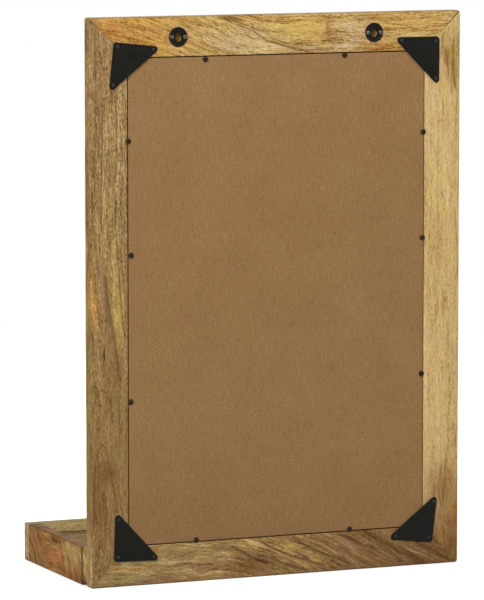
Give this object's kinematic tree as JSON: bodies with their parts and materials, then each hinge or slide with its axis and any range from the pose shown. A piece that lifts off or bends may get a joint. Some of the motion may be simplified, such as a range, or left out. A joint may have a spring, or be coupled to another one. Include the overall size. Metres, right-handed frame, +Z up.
{
  "type": "wall mirror with shelf",
  "caption": "Rectangular wall mirror in a mitred wood frame with a shallow rimmed tray shelf along the foot of its front, backed by a screwed panel, steel corner plates and keyhole hangers.",
  "frame": {"origin": "middle of the whole outline at its foot: halfway along the width, halfway from the shelf's front to the last screw head at the back, on the floor", "axes": "+Z up the mirror; the mirror and its shelf face -Y; the wall side faces +Y; +X runs to the viewer's right when facing the mirror"},
  "size_m": [0.5, 0.237, 0.7],
  "materials": {
    "frame_wood": "waxed solid hardwood with light and dark streaks",
    "shelf_wood": "waxed solid hardwood",
    "floor_wood": "waxed hardwood panel",
    "dowel_wood": "raw turned beech",
    "fibreboard": "raw brown fibreboard",
    "mirror_glass": "silvered float glass",
    "black_steel": "satin black painted steel",
    "bright_steel": "zinc-plated steel"
  },
  "bodies": {
    "root": {"frame_bottom_rail": "frame_wood", "frame_left_stile": "frame_wood", "frame_top_rail": "frame_wood", "frame_right_stile": "frame_wood", "mirror_glass": "mirror_glass", "back_panel": "fibreboard", "panel_screw_01": "black_steel", "panel_screw_02": "black_steel", "panel_screw_03": "black_steel", "panel_screw_04": "black_steel", "panel_screw_05": "black_steel", "panel_screw_06": "black_steel", "panel_screw_07": "black_steel", "panel_screw_08": "black_steel", "panel_screw_09": "black_steel", "panel_screw_10": "black_steel", "corner_plate_top_right": "black_steel", "plate_nail_top_right_1": "black_steel", "plate_nail_top_right_2": "black_steel", "plate_nail_top_right_3": "black_steel", "corner_plate_top_left": "black_steel", "plate_nail_top_left_1": "black_steel", "plate_nail_top_left_2": "black_steel", "plate_nail_top_left_3": "black_steel", "corner_plate_bottom_right": "black_steel", "plate_nail_bottom_right_1": "black_steel", "plate_nail_bottom_right_2": "black_steel", "plate_nail_bottom_right_3": "black_steel", "corner_plate_bottom_left": "black_steel", "plate_nail_bottom_left_1": "black_steel", "plate_nail_bottom_left_2": "black_steel", "plate_nail_bottom_left_3": "black_steel", "keyhole_hanger_right": "black_steel", "hanger_screw_right_1": "bright_steel", "hanger_screw_right_2": "bright_steel", "keyhole_hanger_left": "black_steel", "hanger_screw_left_1": "bright_steel", "hanger_screw_left_2": "bright_steel", "shelf_front_board": "shelf_wood", "shelf_right_end": "shelf_wood", "shelf_left_end": "shelf_wood", "shelf_batten": "shelf_wood", "shelf_floor": "floor_wood", "shelf_screw_1": "bright_steel", "shelf_screw_2": "bright_steel", "shelf_screw_3": "bright_steel", "shelf_screw_4": "bright_steel", "shelf_dowel_right_front_1": "dowel_wood", "shelf_dowel_right_front_2": "dowel_wood", "shelf_dowel_right_back_1": "dowel_wood", "shelf_dowel_right_back_2": "dowel_wood", "shelf_dowel_left_front_1": "dowel_wood", "shelf_dowel_left_front_2": "dowel_wood", "shelf_dowel_left_back_1": "dowel_wood", "shelf_dowel_left_back_2": "dowel_wood"}
  },
  "joints": []
}
